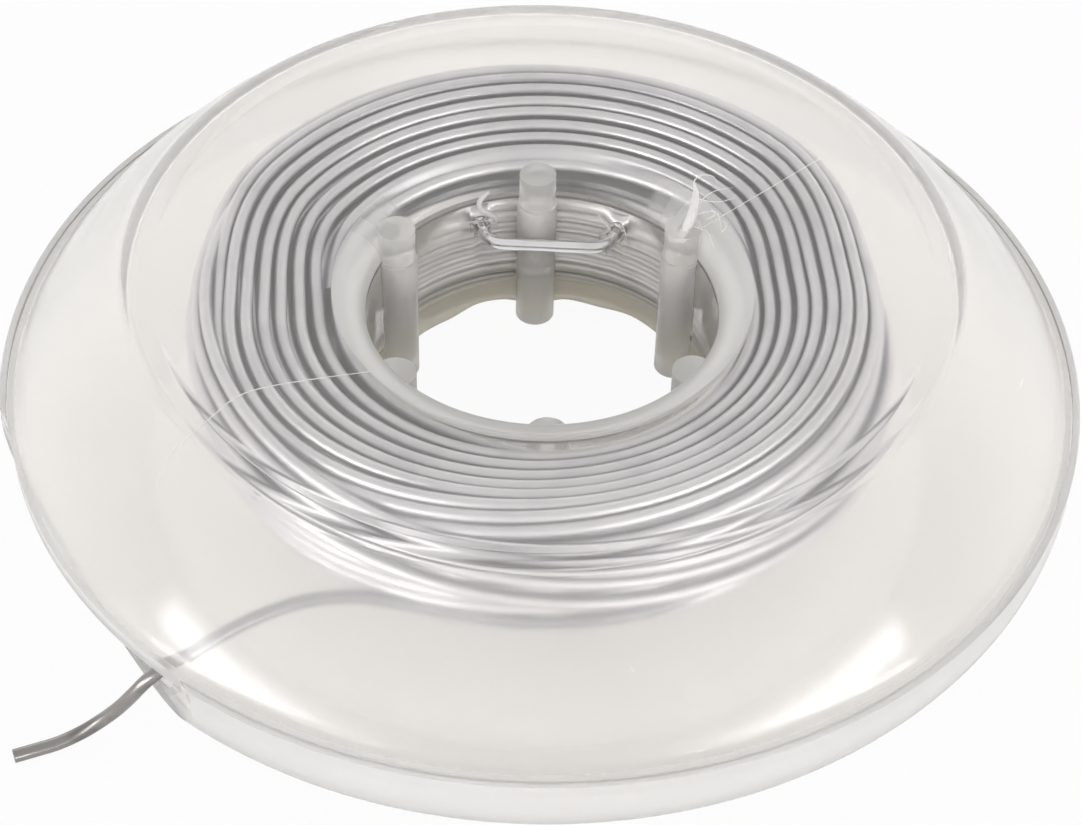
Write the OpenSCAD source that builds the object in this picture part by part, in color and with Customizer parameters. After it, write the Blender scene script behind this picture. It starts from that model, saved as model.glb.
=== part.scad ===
// Wire spool: two clear saucer-shaped shells pinned together at the hub, with
// soft solder wire wound between them. Millimetres, +Z up. The origin is on the
// surface the spool lies on, below the centre of the bore.

/* [Spool] */
// Outer diameter, across the lip of the lower shell
rim_d = 66; // [64:0.5:72]
// Height from the foot ring to the shoulder ring
spool_h = 16.6; // [15.8:0.1:19]
// Wall of both mouldings
wall = 0.9; // [0.7:0.05:1]
// Diameter of the foot ring and of the shoulder ring above it
ring_d = 47.6; // [46:0.2:49]
// Width of the flat on each of those rings
ring_flat = 0.8; // [0.4:0.1:1.2]
// Rounding between each dished face and its skirt
ring_round = 1.4; // [1.2:0.1:2]

/* [Rims] */
// Height of the bead along the edge of the upper shell
bead_h = 1; // [0.8:0.1:1.2]
// How far the bead stands out from the skirt
bead_out = 0.35; // [0.25:0.05:0.6]
// Thickness of the lip that stands round the bead
lip_wall = 0.4; // [0.3:0.05:0.5]
// Straight height of the lower shell's rim
lip_h = 1.8; // [1.6:0.1:2.4]
// Rounding from the lower rim into its skirt
lip_round = 4.3; // [3.5:0.1:5]
// Space between the bead and the rebate that it sits in
rim_gap = 0.12; // [0.08:0.02:0.2]
// How far the flat side that lets the wire out is cut back from the rim
flat_depth = 2.6; // [2.2:0.1:3]
// Direction of the middle of that flat side, from +X towards +Y
flat_angle = 212.8; // [208:0.2:218]

/* [Hub] */
// Diameter of the bore wall
bore_d = 21.4; // [21:0.1:22]
// Height of the hub between its two end faces
hub_h = 11.8; // [11.2:0.1:12.6]
// Radius of the bell mouth at each end of the bore
mouth_round = 2; // [1.6:0.1:2.2]
// Width of the flat land round each mouth
land_w = 1.8; // [1.2:0.1:2.4]
// Depth of the joint between the shells below the upper end of the hub
joint_depth = 2.3; // [2.25:0.05:2.8]

/* [Posts and pins] */
// Number of posts round the bore
post_n = 6; // [3:1:6]
// How many of them, from the first, carry a stub and pin of the upper shell
stub_n = 3; // [2:1:6]
// Direction of the first post, from +X towards +Y
post_angle = 32.8; // [28:0.2:38]
// How far the posts' centres lie inside the bore wall
post_in = 0.5; // [0.4:0.05:0.7]
// Diameter of the lower shell's posts
post_d = 2.5; // [2.3:0.05:2.6]
// How far posts and stubs each stop short of the joint, so that the hub walls seat
post_gap = 0.05; // [0.02:0.01:0.15]
// Diameter of the upper shell's stubs, which stand on the posts
stub_d = 2.3; // [2:0.05:2.5]
// Diameter of the pin under each stub
pin_d = 1.3; // [1:0.05:1.5]
// Length of the pin
pin_l = 5; // [3:0.25:6.5]
// Space round the pin, and below its tip
pin_gap = 0.05; // [0.02:0.01:0.1]

/* [Winding] */
// Diameter of the solder wire
wire_d = 0.8; // [0.7:0.02:0.84]
// Distance between neighbouring turns of the outer layer
turn_pitch = 1.25; // [1.25:0.01:1.4]
// Outer diameter of the winding
coil_d = 41.6; // [40:0.2:42]
// Diameter at which the turns on the upper face begin
coil_top_d = 28.4; // [28:0.2:31]
// Diameter at which the turns on the underside end
coil_under_d = 27.2; // [26:0.2:30]
// Diameter at which the underside turns up into the sloping side
coil_slope_d = 35.4; // [33:0.2:37]
// Depth of the upper edge of that slope below the rims' joint
coil_slope_drop = 1.8; // [0.8:0.1:2.2]
// Rounding of the winding's three outer edges
coil_round = 2.5; // [2.4:0.1:3]
// Space between the winding and the mouldings
coil_gap = 0.15; // [0.1:0.05:0.25]

/* [Anchor] */
// Height of the wire where it crosses the bore, above the rims' joint
anchor_up = 1.5; // [0.5:0.1:2.2]
// Angle between the two holes that the wire is threaded through
anchor_span = 47; // [42:0.5:52]
// Direction of the middle of the crossing, from the post that it passes
anchor_shift = -4.3; // [-6:0.1:6]
// Space between the crossing wire and that post
anchor_gap = 0.07; // [0.05:0.01:0.5]
// Radius of the wire's two bends beside the crossing
anchor_bend = 1.4; // [1:0.1:1.5]
// Diameter of the holes
anchor_hole_d = 1.3; // [1.1:0.05:1.6]

/* [Hidden] */

$fn = 96;
fine_fn = 32;
arc_steps = 8;
wound_sides = 6;
cord_sides = 8;
cut = 1;
clear_plastic = [0.90, 0.89, 0.86, 0.45];
solder = [0.66, 0.67, 0.69];

mid_z = spool_h / 2;
rim_r = rim_d / 2;
bore_r = bore_d / 2;
land_r = bore_r + mouth_round + land_w;
hub_up = hub_h / 2;
joint_up = hub_up - joint_depth;
post_r = bore_r - post_in;
bead_r = rim_r - lip_wall - rim_gap;
skirt_r = bead_r - bead_out;
seat_drop = bead_h + rim_gap;
flat_reach = rim_r - flat_depth;

function unit(v) = v / norm(v);
function last(list) = list[len(list) - 1];
function flip(list) = [for (i = [len(list) - 1:-1:0]) list[i]];
function arc(c, r, a0, a1) =
    [for (i = [0:arc_steps])
        let (a = a0 + (a1 - a0) * i / arc_steps) c + r * [cos(a), sin(a)]];

// Slope of the line that rises from point p and touches a circle from above
function rise(p, c, r) =
    let (d = c - p) atan2(d.y, d.x) + asin(r / norm(d));
// Slope of the line that falls outwards over two circles
function fall(c0, r0, c1, r1) =
    let (d = c1 - c0) asin((r0 - r1) / norm(d)) - atan2(d.y, d.x);

// ---- Wall sections, as [radius, height above the rims' joint] ----
// Each is drawn the right way up for the upper shell; the lower shell's is
// turned over. t is the depth in the wall: 0 on its outer face.

mouth_c = [bore_r + mouth_round, hub_up - mouth_round];
ring_c0 = [(ring_d - ring_flat) / 2, mid_z - ring_round];
ring_c1 = [(ring_d + ring_flat) / 2, mid_z - ring_round];
lip_c = [rim_r - lip_round, lip_h];
dish_slope = rise([land_r, hub_up], ring_c0, ring_round);
skirt_slope = fall(ring_c1, ring_round, [skirt_r, 0], 0);
belt_slope = fall(ring_c1, ring_round, lip_c, lip_round);

function hub_and_dish(start_up, t) =
    concat([[bore_r + t, start_up]],
           arc(mouth_c, mouth_round - t, 180, 90),
           [[land_r + t * tan(dish_slope / 2), hub_up - t]],
           arc(ring_c0, ring_round - t, 90 + dish_slope, 90));
function upper_face(t) =
    concat(hub_and_dish(joint_up, t), arc(ring_c1, ring_round - t, 90, 90 - skirt_slope));
function lower_face(t) =
    concat(hub_and_dish(-joint_up, t),
           arc(ring_c1, ring_round - t, 90, 90 - belt_slope),
           arc(lip_c, lip_round - t, 90 - belt_slope, 0));

// The skirt's inner face runs on down to the underside of the bead
skirt_in_r = skirt_r - wall / sin(skirt_slope) + bead_h / tan(skirt_slope);
bead_edge = 0.2 * bead_h;
upper_section = concat(
    upper_face(0),
    [[skirt_r, 0], [bead_r - bead_edge / 2, 0], [bead_r, -bead_edge / 2],
     [bead_r, bead_edge - bead_h], [bead_r - bead_edge, -bead_h], [skirt_in_r, -bead_h]],
    flip(upper_face(wall)));

lip_edge = lip_wall / 4;
lower_section = concat(
    lower_face(0),
    [[rim_r, lip_edge], [rim_r - lip_edge, 0], [rim_r - lip_wall, 0],
     [rim_r - lip_wall, seat_drop], [rim_r - wall, seat_drop]],
    flip(lower_face(wall)));

module round_the_bore(n) {
    for (i = [0:n - 1])
        rotate([0, 0, post_angle + 360 * i / post_n]) translate([post_r, 0, 0]) children();
}

// A straight round bar or hole from height z0 to height z1
module bar(d, z0, z1) {
    translate([0, 0, z0]) cylinder(d = d, h = z1 - z0, $fn = fine_fn);
}

// ---- Upper shell: dished cover, beaded skirt, and stubs with their pins ----

module upper_shell() {
    color(clear_plastic) translate([0, 0, mid_z]) {
        rotate_extrude() polygon(upper_section);
        round_the_bore(min(stub_n, post_n)) {
            bar(stub_d, joint_up + post_gap, hub_up);
            bar(pin_d, joint_up - pin_l, joint_up + cut);
        }
    }
}

// ---- Lower shell: hub barrel with its posts, dished base and lipped rim ----

module wire_flat() {
    rotate([0, 0, flat_angle])
        translate([flat_reach, -rim_r, -mid_z - cut]) cube([rim_r, rim_d, mid_z + 2 * cut]);
}

anchor_mid = post_angle + 360 / post_n + anchor_shift;
module anchor_hole(side) {
    rotate([0, 0, anchor_mid + side * anchor_span / 2])
        translate([bore_r - cut, 0, anchor_up]) rotate([0, 90, 0])
        cylinder(d = anchor_hole_d, h = wall + 2 * cut, $fn = fine_fn);
}

module lower_shell() {
    color(clear_plastic) translate([0, 0, mid_z]) difference() {
        union() {
            rotate_extrude() polygon([for (p = lower_section) [p.x, -p.y]]);
            round_the_bore(post_n) bar(post_d, -hub_up, joint_up - post_gap);
        }
        round_the_bore(min(stub_n, post_n)) bar(pin_d + 2 * pin_gap, joint_up - pin_l - pin_gap, joint_up + cut);
        wire_flat();
        anchor_hole(-1);
        anchor_hole(1);
    }
}

// ---- Winding: its outline, then the outer layer of turns and the core ----

wire_r = wire_d / 2;
rings_a_turn = 24;
// Room under the turns, most of it for their facets to cut across the circle
clear_of_core = 0.06;
core_gap = coil_d / 2 * (1 - cos(180 / rings_a_turn)) + clear_of_core;
skin = wire_d + core_gap;
coil_in_r = bore_r + wall + coil_gap;
coil_r = coil_d / 2;
coil_low = hub_up - wall - coil_gap;

// Underside of the upper dish, less the space above the winding
function ceiling(r) =
    hub_up - wall - coil_gap / cos(dish_slope)
    + (r - land_r - wall * tan(dish_slope / 2)) * tan(dish_slope);

// Outline of the whole winding, anticlockwise from the foot of the hub. Its
// inner side is set in, so that the core comes out at the hub's wall.
outline_in_r = coil_in_r - skin;
outline = [[outline_in_r, -coil_low], [coil_slope_d / 2, -coil_low],
           [coil_r, -coil_slope_drop], [coil_r, ceiling(coil_r)],
           [outline_in_r, ceiling(outline_in_r)]];

// The outline moved inwards by d on every side, its outer corners rounded
function inward(list, i) =
    let (e = unit(list[(i + 1) % len(list)] - list[i])) [-e.y, e.x];
function inset(d) =
    [for (i = [0:len(outline) - 1])
        let (n0 = inward(outline, (i + len(outline) - 1) % len(outline)),
             n1 = inward(outline, i))
            outline[i] + d * (n0 + n1) / (1 + n0 * n1)];
function rounded(list, i, r) =
    let (n0 = inward(list, i - 1), n1 = inward(list, i),
         c = list[i] + r * (n0 + n1) / (1 + n0 * n1),
         a0 = atan2(-n0.y, -n0.x), a1 = atan2(-n1.y, -n1.x))
        arc(c, r, a0, a1 < a0 ? a1 + 360 : a1);
function outer_edges(list, r) = [for (i = [1:3]) each rounded(list, i, r)];

core_line = inset(skin);
core_section = concat([core_line[0]], outer_edges(core_line, coil_round - skin), [core_line[4]]);

// The turns go out over the upper face, down the side, and in again below
turn_line = inset(wire_r);
function at_radius(a, b, r) = a + (b - a) * (r - a.x) / (b.x - a.x);
route = concat([at_radius(turn_line[4], turn_line[3], coil_top_d / 2 + wire_r)],
               flip(outer_edges(turn_line, coil_round - wire_r)),
               [at_radius(turn_line[1], turn_line[0], coil_under_d / 2 + wire_r)]);
function length_to(i) = i == 0 ? 0 : norm(route[i] - route[i - 1]) + length_to(i - 1);

// The point of the route at length s, or below it by a depth towards the core
function on_route(s, depth = 0, i = 1) =
    let (step = route[i] - route[i - 1])
        s <= norm(step) || i == len(route) - 1
            ? route[i - 1] + unit(step) * s + depth * [unit(step).y, -unit(step).x]
            : on_route(s - norm(step), depth, i + 1);

// The turns run clockwise. Point 0 is where the tail takes over, at the foot of
// the side, and each point is one step further down the winding.
tail_angle = 300;
tail_s = length_to(arc_steps + 2);
ring_step = 360 / rings_a_turn;
function turn_point(i, depth = 0) =
    let (p = on_route(tail_s + turn_pitch * i / rings_a_turn, depth), a = tail_angle - ring_step * i)
        [p.x * cos(a), p.x * sin(a), p.y];
first_ring = -floor(tail_s / turn_pitch * rings_a_turn);
last_ring = floor((length_to(len(route) - 1) - tail_s) / turn_pitch * rings_a_turn);
// The tail has drawn clear of the winding after this many steps
tail_rings = 5;
upper_turns = [for (i = [first_ring:0]) turn_point(i)];
under_turns = [for (i = [tail_rings:last_ring]) turn_point(i)];

function least_gap(list, skip, others) =
    min([for (i = [0:len(list) - 1]) for (j = [skip < 0 ? 0 : i + skip:1:len(others) - 1])
        norm(list[i] - others[j])]) - wire_d;

// A closed tube of n sides round a path, with one ring at each point
function heading(path, i) =
    let (m = len(path) - 1)
        i == 0 ? unit(path[1] - path[0]) :
        i == m ? unit(path[m] - path[m - 1]) :
        unit(unit(path[i + 1] - path[i]) + unit(path[i] - path[i - 1]));
function ring_at(p, t, r, n) =
    let (u = unit(cross(t, [0, 0, 1])), v = cross(u, t))
        [for (j = [0:n - 1]) p + r * (cos(360 * j / n) * u + sin(360 * j / n) * v)];
module tube(path, r, n) {
    m = len(path);
    points = [for (i = [0:m - 1]) each ring_at(path[i], heading(path, i), r, n)];
    side = [for (i = [0:m - 2]) for (j = [0:n - 1])
        let (a = i * n + j, b = i * n + (j + 1) % n)
            each [[a, b, b + n], [a, b + n, a + n]]];
    ends = [for (j = [1:n - 2])
        each [[0, j + 1, j], [(m - 1) * n, (m - 1) * n + j, (m - 1) * n + j + 1]]];
    polyhedron(points, concat(side, ends));
}

// A short piece of the layer below, which a turn comes up from or goes down to.
// It meets the end of the turn squarely, and sinks into the core.
riser_sink = 0.25;
riser_l = 1.5 * wire_d;
module riser(i, next) {
    t = unit(turn_point(i) - turn_point(next));
    sink = turn_point(i, riser_sink) - turn_point(i);
    translate(turn_point(i) + sink - (sink * t) * t) rotate([0, acos(t.z), atan2(t.y, t.x)])
        cylinder(d = wire_d + 2 * riser_sink, h = riser_l, $fn = fine_fn);
}

module wire_core() {
    color(solder) translate([0, 0, mid_z]) {
        rotate_extrude() polygon(core_section);
        riser(first_ring, first_ring + 1);
        riser(tail_rings, tail_rings + 1);
        riser(last_ring, last_ring - 1);
    }
}

module wire_winding() {
    color(solder) translate([0, 0, mid_z]) tube(upper_turns, wire_r, wound_sides);
}

module wire_underwinding() {
    color(solder) translate([0, 0, mid_z]) tube(under_turns, wire_r, wound_sides);
}

// ---- Anchor: the wire's inner end, threaded through the hub and back ----

// Drawn with the crossing's middle towards +Y, as [x, y]
anchor_reach = post_r * cos(anchor_shift) - post_d / 2 - wire_r - anchor_gap;
anchor_end_r = coil_in_r - clear_of_core / 4;
function polar(r, a) = [r * cos(a), r * sin(a)];

// Right half of the path, from the middle of its bend outwards to the winding
half_span = anchor_span / 2;
corner = [anchor_reach * tan(half_span), anchor_reach];
bend_c = corner + [-anchor_bend * tan((90 - half_span) / 2), anchor_bend];
anchor_half = concat(
    [for (i = [0:arc_steps]) bend_c + polar(anchor_bend, -90 + (90 - half_span) * i / arc_steps)],
    [polar(anchor_end_r, 90 - half_span)]);
anchor_path = concat([for (p = flip(anchor_half)) [-p.x, p.y, anchor_up]],
                     [for (p = anchor_half) [p.x, p.y, anchor_up]]);

module wire_anchor() {
    color(solder) translate([0, 0, mid_z]) rotate([0, 0, anchor_mid - 90])
        tube(anchor_path, wire_r, cord_sides);
}

// ---- Tail: the wire's free end, out between the rims and down to the table ----

tail_start = last(upper_turns) + [0, 0, mid_z];
tail_heading = unit(last(upper_turns) - upper_turns[len(upper_turns) - 2]);
tail_points = [
    [7.3, -19.3, 7.4], [5.3, -20.0, 7.4], [3.2, -20.5, 7.4], [1.0, -20.6, 7.3],
    [-1.2, -20.6, 7.3], [-3.4, -20.3, 7.3], [-5.5, -19.9, 7.3], [-7.6, -19.5, 7.3],
    [-9.7, -19.2, 7.3], [-11.6, -19.2, 7.2], [-13.4, -19.6, 7.1], [-15.0, -20.3, 7.0],
    [-16.5, -21.2, 6.9], [-17.8, -22.2, 6.8], [-19.2, -23.2, 6.6], [-20.5, -23.9, 6.3],
    [-21.5, -24.3, 5.6], [-22.4, -24.5, 4.5], [-23.3, -24.4, 3.2], [-24.4, -24.4, 2.0],
    [-25.6, -24.6, 1.1], [-26.9, -25.0, 0.6], [-28.1, -25.4, 0.45], [-29.3, -25.9, 0.45]];

tail_path = concat([tail_start, tail_start + wire_d * tail_heading], tail_points);

module wire_tail() {
    color(solder) tube(tail_path, wire_r, cord_sides);
}

// Clear space between turns, which is to stay above 0.4 mm
half_turn = rings_a_turn / 2;
free_tail = [for (i = [2:len(tail_path) - 1]) tail_path[i] - [0, 0, mid_z]];
echo("least gap of wire_winding to itself", least_gap(upper_turns, half_turn, upper_turns));
echo("least gap of wire_underwinding to itself", least_gap(under_turns, half_turn, under_turns));
echo("least gap of wire_winding to wire_underwinding", least_gap(upper_turns, -1, under_turns));
echo("least gap of wire_tail to wire_underwinding", least_gap(free_tail, -1, under_turns));
echo("least gap of wire_tail to earlier turns of wire_winding",
     least_gap(free_tail, -1, [for (i = [0:len(upper_turns) - half_turn]) upper_turns[i]]));
echo("slopes of dish, skirt and belt", dish_slope, skirt_slope, belt_slope);
echo("tail starts at", tail_start, "turns", -first_ring / rings_a_turn,
     (last_ring - tail_rings) / rings_a_turn);

upper_shell();
lower_shell();
wire_core();
wire_winding();
wire_underwinding();
wire_anchor();
wire_tail();
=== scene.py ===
# %% [markdown]
# # A spool of solder wire in Blender
# The object is a low, round, throw-away spool: two milky clear plastic shells, pinned together
# round a wide bore, with soft grey solder wire wound between them. The imported CAD model is the
# frame that everything sits in. It is loaded first, and each CAD node is then replaced by a finer
# piece of the same size and place.

# %% The frame, and the boxes of its parts
import math
import random

import bpy
from mathutils import Matrix, Vector


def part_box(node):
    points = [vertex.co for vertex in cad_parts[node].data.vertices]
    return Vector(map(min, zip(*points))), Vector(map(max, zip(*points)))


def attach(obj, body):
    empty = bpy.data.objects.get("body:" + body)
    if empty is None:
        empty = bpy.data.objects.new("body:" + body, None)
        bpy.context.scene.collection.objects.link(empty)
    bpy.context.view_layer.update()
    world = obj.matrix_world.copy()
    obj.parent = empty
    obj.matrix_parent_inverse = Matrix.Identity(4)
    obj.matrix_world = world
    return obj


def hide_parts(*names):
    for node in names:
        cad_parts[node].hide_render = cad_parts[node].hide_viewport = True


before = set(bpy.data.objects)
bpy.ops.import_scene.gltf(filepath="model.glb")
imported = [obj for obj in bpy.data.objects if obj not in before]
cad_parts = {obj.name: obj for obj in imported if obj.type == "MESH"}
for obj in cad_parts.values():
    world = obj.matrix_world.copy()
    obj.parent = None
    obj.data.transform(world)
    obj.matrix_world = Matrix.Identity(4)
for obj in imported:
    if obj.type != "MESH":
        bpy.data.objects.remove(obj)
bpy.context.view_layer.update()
MM = 0.001

# %% [markdown]
# ## Camera, light and ground
# The spool is seen from above at about 45 degrees with a long lens, nearly filling the picture.
# The camera is placed by three turns: down to its elevation, a small roll, and a small tilt that
# sets the object a little above the middle. Those few angles are easier to correct later than a
# free matrix.

# %% Camera
VIEW_DISTANCE = 160.6 * MM
VIEW_ELEVATION = math.radians(43.89)
VIEW_ROLL = math.radians(1.56)
VIEW_TILT = math.radians(-1.276)
LENS_MM = 86.64

rim_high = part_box("lower_shell")[1]
spool_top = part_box("upper_shell")[1].z
spool_middle = Vector((0, 0, spool_top / 2))

camera_data = bpy.data.cameras.new("camera")
camera_data.lens = LENS_MM
camera_data.clip_start = 0.01
camera = bpy.data.objects.new("camera", camera_data)
bpy.context.scene.collection.objects.link(camera)
to_camera = Vector((0, -math.cos(VIEW_ELEVATION), math.sin(VIEW_ELEVATION)))
camera.matrix_world = (
    Matrix.Translation(spool_middle + VIEW_DISTANCE * to_camera)
    @ Matrix.Rotation(math.pi / 2 - VIEW_ELEVATION, 4, "X")
    @ Matrix.Rotation(VIEW_ROLL, 4, "Z")
    @ Matrix.Rotation(VIEW_TILT, 4, "X")
)
bpy.context.scene.camera = camera
print("camera at", [round(v / MM, 1) for v in camera.location], "mm")

# %% [markdown]
# The ground is white and stays white in the picture, so its material adds plain white for the
# rays that come from the camera, from gloss and from clear plastic, and keeps a little of the
# real shading, which leaves a faint shadow. The sky is a soft gradient, a little darker overhead,
# with more light low at the back, as inside a white tent: a clear or polished thing shows its
# form only if what it reflects has light and dark sides.

# %% Ground and sky
FLOOR_SIZE = 4.0
FLOOR_DROP = 0.02 * MM
FLOOR_PAINT = (0.9, 0.9, 0.9, 1)
FLOOR_GLOW_SEEN = 0.93
# Painted light: the glow seen in gloss and through clear plastic fades from back to front.
FLOOR_GLOW_FRONT = 0.30
FLOOR_GLOW_BACK = 1.0
FLOOR_FADE_FROM, FLOOR_FADE_TO = -30 * MM, 34 * MM
SKY_TOP = 0.88
SKY_TOP_FROM = 0.9
SKY_HORIZON = 0.98
SKY_BACK = 0.8
SKY_BACK_SIDE, SKY_BACK_LOW = (0.2, 0.95), (0.75, 0.30)


def new_material(name):
    """An empty node material with its output, and its node tree."""
    material = bpy.data.materials.new(name)
    material.use_nodes = True
    material.node_tree.nodes.clear()
    material.node_tree.nodes.new("ShaderNodeOutputMaterial")
    return material, material.node_tree


def add_node(tree, kind, **settings):
    """A new node of that kind, with its properties set by name."""
    node = tree.nodes.new(kind)
    for name, value in settings.items():
        setattr(node, name, value)
    return node


def plug(tree, socket, value):
    """Joins an input to another node's output, or sets it to a plain value."""
    if isinstance(value, bpy.types.NodeSocket):
        tree.links.new(value, socket)
    else:
        socket.default_value = value


def feed(tree, node, **values):
    """Fills a node's inputs by name, with an underscore for each space; returns the node."""
    for name, value in values.items():
        plug(tree, node.inputs[name.replace("_", " ")], value)
    return node


def filled(tree, node, values):
    """Fills a node's inputs in their order and returns its first output."""
    for socket, value in zip(node.inputs, values):
        plug(tree, socket, value)
    return node.outputs[0]


def math_node(tree, operation, *values):
    """The output of a Math node."""
    return filled(tree, add_node(tree, "ShaderNodeMath", operation=operation), values)


def mix_shaders(tree, factor, first, second):
    """The first shader where the factor is 0, the second where it is 1."""
    return filled(tree, add_node(tree, "ShaderNodeMixShader"), (factor, first, second))


def ramp(tree, value, low, high, start=0.0, end=1.0, curve="SMOOTHSTEP"):
    """Rises from start, where the value is low, to end, where it is high."""
    node = add_node(tree, "ShaderNodeMapRange", interpolation_type=curve)
    return feed(tree, node, Value=value, From_Min=low, From_Max=high,
                To_Min=start, To_Max=end).outputs[0]


def mix_colours(tree, factor, first, second):
    """The first colour where the factor is 0, the second where it is 1."""
    node = add_node(tree, "ShaderNodeMix", data_type="RGBA")
    return feed(tree, node, Factor=factor, A=first, B=second).outputs["Result"]


def show(tree, shader):
    """Makes a shader what the material shows."""
    tree.links.new(shader, tree.nodes["Material Output"].inputs["Surface"])


def object_place(tree):
    """Object coordinates, which every pattern here is laid out in."""
    return add_node(tree, "ShaderNodeTexCoord").outputs["Object"]


def object_axes(tree):
    """The three parts of the object coordinates."""
    return feed(tree, add_node(tree, "ShaderNodeSeparateXYZ"), Vector=object_place(tree)).outputs


def floor_glow(tree):
    """How much plain white the floor adds: most to the camera, less to gloss and clear plastic.

    Painted light: the glow for gloss and clear plastic is strongest at the back and fades to the
    front, standing in for a back light and the shade in front of the spool.
    """
    path = add_node(tree, "ShaderNodeLightPath")
    painted_back_glow = ramp(tree, object_axes(tree)["Y"], FLOOR_FADE_FROM, FLOOR_FADE_TO,
                FLOOR_GLOW_FRONT, FLOOR_GLOW_BACK)
    through = math_node(tree, "MAXIMUM", path.outputs["Is Glossy Ray"],
                        path.outputs["Is Transmission Ray"])
    through = math_node(tree, "MULTIPLY", through, painted_back_glow)
    seen = math_node(tree, "MULTIPLY", path.outputs["Is Camera Ray"], FLOOR_GLOW_SEEN)
    return math_node(tree, "MAXIMUM", through, seen)


floor_paint, tree = new_material("white_ground")
plain = feed(tree, add_node(tree, "ShaderNodeBsdfDiffuse"), Color=FLOOR_PAINT)
glow = feed(tree, add_node(tree, "ShaderNodeEmission"), Strength=1.0)
show(tree, mix_shaders(tree, floor_glow(tree), plain.outputs[0], glow.outputs[0]))

bpy.ops.object.select_all(action="DESELECT")
bpy.ops.mesh.primitive_plane_add(size=FLOOR_SIZE, location=(0, 0, -FLOOR_DROP))
floor = bpy.context.object
floor.name = "ground"
floor.data.materials.append(floor_paint)

world = bpy.data.worlds.new("soft_sky")
bpy.context.scene.world = world
world.use_nodes = True
sky = world.node_tree
sky.nodes.clear()
aim = feed(sky, add_node(sky, "ShaderNodeSeparateXYZ"),
           Vector=add_node(sky, "ShaderNodeTexCoord").outputs["Generated"]).outputs
level = ramp(sky, aim["Z"], 0.0, SKY_TOP_FROM, SKY_HORIZON, SKY_TOP, "LINEAR")
behind = ramp(sky, aim["Y"], *SKY_BACK_SIDE, 0.0, SKY_BACK)
extra = math_node(sky, "MULTIPLY", behind, ramp(sky, aim["Z"], *SKY_BACK_LOW))
strength = math_node(sky, "ADD", level, extra)
back = feed(sky, add_node(sky, "ShaderNodeBackground"), Strength=strength)
feed(sky, add_node(sky, "ShaderNodeOutputWorld"), Surface=back.outputs[0])
bpy.context.scene.view_settings.view_transform = "Standard"
print("ground", FLOOR_SIZE, "m wide, sky from", SKY_HORIZON, "to", SKY_TOP)

# %% [markdown]
# Two long, low area lamps stand to the left and right. A cone shows a lamp as a streak, which
# slides down the skirt to its rim as the lamp comes down, and the lamp's size gives the streak
# its soft ends. A weak strip in front lifts the rim's own face.

# %% Three soft lamps
LAMPS = {
    "left_softbox": ((-0.43, -0.39, 0.12), 0.52, 0.05, 1.1),
    "right_softbox": ((0.43, -0.39, 0.12), 0.52, 0.05, 1.1),
    "front_strip": ((0, -0.58, 0.07), 0.50, 0.05, 0.12),
}


def soft_lamp(name, place, width, height, power):
    """A wide, low lamp that looks at the spool's middle."""
    data = bpy.data.lights.new(name, "AREA")
    data.shape = "RECTANGLE"
    data.size, data.size_y = width, height
    data.energy = power
    lamp = bpy.data.objects.new(name, data)
    lamp.location = place
    lamp.rotation_euler = (spool_middle - Vector(place)).to_track_quat("-Z", "Y").to_euler()
    bpy.context.scene.collection.objects.link(lamp)


for name, (place, width, height, power) in LAMPS.items():
    soft_lamp(name, place, width, height, power)
print("lamps:", [lamp.name for lamp in bpy.data.lights])

# %% [markdown]
# ## The wire's free end
# The cord comes first, because its place is settled in the CAD model: it leaves the winding, runs
# between the rims, drops through the flat side of the lower rim and ends, cut off, on the table.
# A curve with a round bevel is the natural way to make a wire. Its points are those of the CAD
# route. It becomes a mesh at once, because only a mesh has a box that can be measured well.

# %% Tail of the wire
WIRE_D = 0.8 * MM
WIRE_R = WIRE_D / 2
TAIL_ROUTE = [
    (10.2, -17.667, 7.547), (9.508, -18.067, 7.51),
    (7.3, -19.3, 7.4), (5.3, -20.0, 7.4), (3.2, -20.5, 7.4), (1.0, -20.6, 7.3),
    (-1.2, -20.6, 7.3), (-3.4, -20.3, 7.3), (-5.5, -19.9, 7.3), (-7.6, -19.5, 7.3),
    (-9.7, -19.2, 7.3), (-11.6, -19.2, 7.2), (-13.4, -19.6, 7.1), (-15.0, -20.3, 7.0),
    (-16.5, -21.2, 6.9), (-17.8, -22.2, 6.8), (-19.2, -23.2, 6.6), (-20.5, -23.9, 6.3),
    (-21.5, -24.3, 5.6), (-22.4, -24.5, 4.5), (-23.3, -24.4, 3.2), (-24.4, -24.4, 2.0),
    (-25.6, -24.6, 1.1), (-26.9, -25.0, 0.6), (-28.1, -25.4, 0.45), (-29.3, -25.9, 0.45)]


def select_only(*objects):
    """Selects these objects alone, if any, and makes the first one active."""
    bpy.ops.object.select_all(action="DESELECT")
    for o in objects:
        o.select_set(True)
        bpy.context.view_layer.objects.active = objects[0]


def wire_tube(name, points, radius=WIRE_R, taper=None, roundness=3):
    """A round wire along points in metres: a curve with a round bevel, turned into a mesh.

    taper is a list of shares of the radius, spread evenly from the first point to the last.
    """
    data = bpy.data.curves.new(name, "CURVE")
    data.dimensions = "3D"
    data.bevel_depth = radius
    data.bevel_resolution = roundness
    data.use_fill_caps = True
    spline = data.splines.new("POLY")
    spline.points.add(len(points) - 1)
    for knot, point in zip(spline.points, points):
        knot.co = (*point, 1)
    if taper:
        for i, knot in enumerate(spline.points):
            place = i / (len(points) - 1) * (len(taper) - 1)
            low = min(int(place), len(taper) - 2)
            knot.radius = taper[low] + (taper[low + 1] - taper[low]) * (place - low)
    wire = bpy.data.objects.new(name, data)
    bpy.context.scene.collection.objects.link(wire)
    select_only(wire)
    bpy.ops.object.convert(target="MESH")
    return bpy.context.object


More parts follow.
